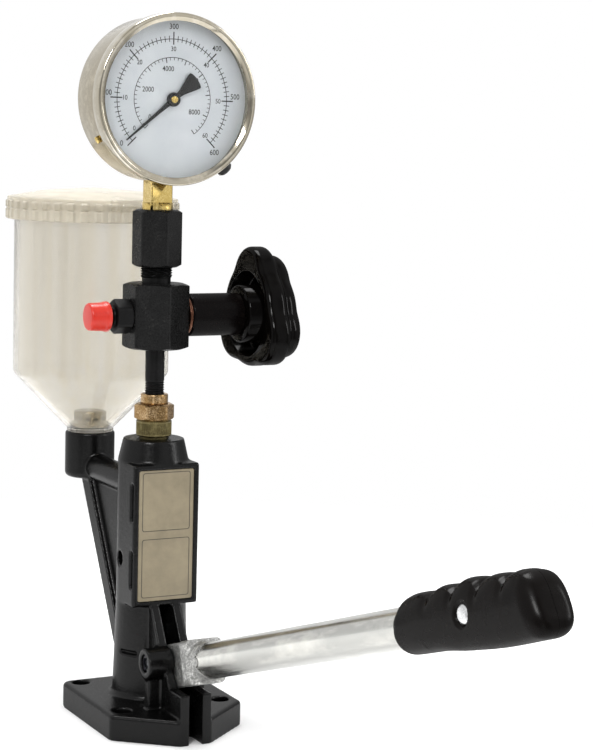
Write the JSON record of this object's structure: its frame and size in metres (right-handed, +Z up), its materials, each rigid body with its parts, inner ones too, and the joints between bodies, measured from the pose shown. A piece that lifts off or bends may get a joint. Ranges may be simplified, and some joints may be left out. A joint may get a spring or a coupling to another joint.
{
  "type": "diesel injector tester",
  "caption": "Hand lever pump on a cast stand that tests diesel injector nozzles, with a pressure gauge, a shut off valve with a star knob and a clear oil reservoir",
  "frame": {"origin": "Centre of the four bolt holes on the underside of the base, under the axis of the pump column", "axes": "+Z up along the pump column. The dial, the label plate and the lever face -Y. The shut off valve points to +X and the outlet to -X. The oil reservoir stands at +Y."},
  "size_m": [0.144, 0.5983, 0.4331],
  "materials": {
    "casting": "satin",
    "plate": "satin",
    "zinc_steel": "satin",
    "hard_steel": "ground",
    "spring_steel": "satin",
    "bronzed_steel": "worn",
    "black_steel": "satin",
    "red_cap": "gloss",
    "copper": "satin",
    "seal_rubber": "matte",
    "black_plastic": "gloss",
    "brass": "satin",
    "bronze": "satin",
    "stainless": "polished",
    "clear_glass": "gloss",
    "dial_white": "matte",
    "pointer_black": "matte",
    "cast_zinc": "as cast",
    "zinc_tube": "satin",
    "grip_rubber": "satin",
    "clear_cup": "gloss"
  },
  "bodies": {
    "stand": {"body_casting": "casting", "label_plate": "plate", "tappet_guide_screw": "zinc_steel", "pump_barrel": "hard_steel", "return_spring": "spring_steel", "delivery_spring": "spring_steel", "delivery_valve_holder": "bronzed_steel", "union_nut": "bronzed_steel", "lock_ring": "bronzed_steel", "riser_pipe": "black_steel", "valve_block": "black_steel", "outlet_fitting": "black_steel", "valve_seal": "copper", "valve_bonnet": "black_steel", "spindle_seal": "seal_rubber", "gauge_adapter": "black_steel", "gauge_coupling": "black_steel", "gauge_seal": "copper", "gauge_stem": "brass", "gauge_case": "stainless", "gauge_bezel": "stainless", "gauge_window": "clear_glass", "gauge_dial": "dial_white", "bezel_screws": "brass", "blowout_plug": "seal_rubber", "gauge_movement": "brass", "bourdon_tube": "bronze", "pivot_pin": "zinc_steel", "pin_circlips": "spring_steel", "reservoir_cup": "clear_cup", "neck_seal": "seal_rubber", "reservoir_strainer": "stainless"},
    "lever": {"lever_root": "cast_zinc", "lever_tube": "zinc_tube", "lever_grip": "grip_rubber", "grip_screw": "zinc_steel"},
    "plunger": {"pump_plunger": "hard_steel", "plunger_tappet": "hard_steel"},
    "delivery_needle": {"delivery_valve": "hard_steel"},
    "pointer": {"gauge_pointer": "pointer_black", "gauge_arbor": "brass"},
    "spindle": {"valve_spindle": "hard_steel"},
    "knob": {"valve_knob": "black_plastic", "knob_grub_screw": "zinc_steel"},
    "lid": {"reservoir_lid": "clear_cup"},
    "cap": {"outlet_cap": "red_cap"}
  },
  "joints": [
    {"name": "lever_pivot", "type": "hinge", "parent": "stand", "child": "lever", "pos_m": [0, -0.038, 0.0438], "axis": [1, 0, 0], "range_deg": [0, 14], "stiffness_Nm_per_rad": 6, "springref_deg": -20.05},
    {"name": "plunger_stroke", "type": "slide", "parent": "stand", "child": "plunger", "axis": [0, 0, 1], "range_m": [0, 0.00912], "deforming": ["return_spring"]},
    {"name": "delivery_lift", "type": "slide", "parent": "stand", "child": "delivery_needle", "axis": [0, 0, 1], "range_m": [0, 0.001], "stiffness_N_per_m": 2000, "springref_m": -0.002, "deforming": ["delivery_spring"]},
    {"name": "pointer_turn", "type": "hinge", "parent": "stand", "child": "pointer", "pos_m": [0, 0, 0.382], "axis": [0, 1, 0], "range_deg": [0, 265], "stiffness_Nm_per_rad": 0.0001, "springref_deg": -28.65},
    {"name": "spindle_travel", "type": "slide", "parent": "stand", "child": "spindle", "axis": [1, 0, 0], "range_m": [0, 0.00301]},
    {"name": "knob_turn", "type": "hinge", "parent": "spindle", "child": "knob", "pos_m": [0.0553, 0, 0.251], "axis": [1, 0, 0], "range_deg": [0, 720]},
    {"name": "lid_lift", "type": "slide", "parent": "stand", "child": "lid", "axis": [0, 0, 1], "range_m": [0, 0.04]},
    {"name": "cap_pull", "type": "slide", "parent": "stand", "child": "cap", "axis": [-1, 0, 0], "range_m": [0, 0.03]}
  ],
  "couplings": [
    {"joint": "plunger_stroke", "follows": "lever_pivot", "m_per_rad": 0.037234},
    {"joint": "spindle_travel", "follows": "knob_turn", "m_per_rad": 0.00023873}
  ]
}
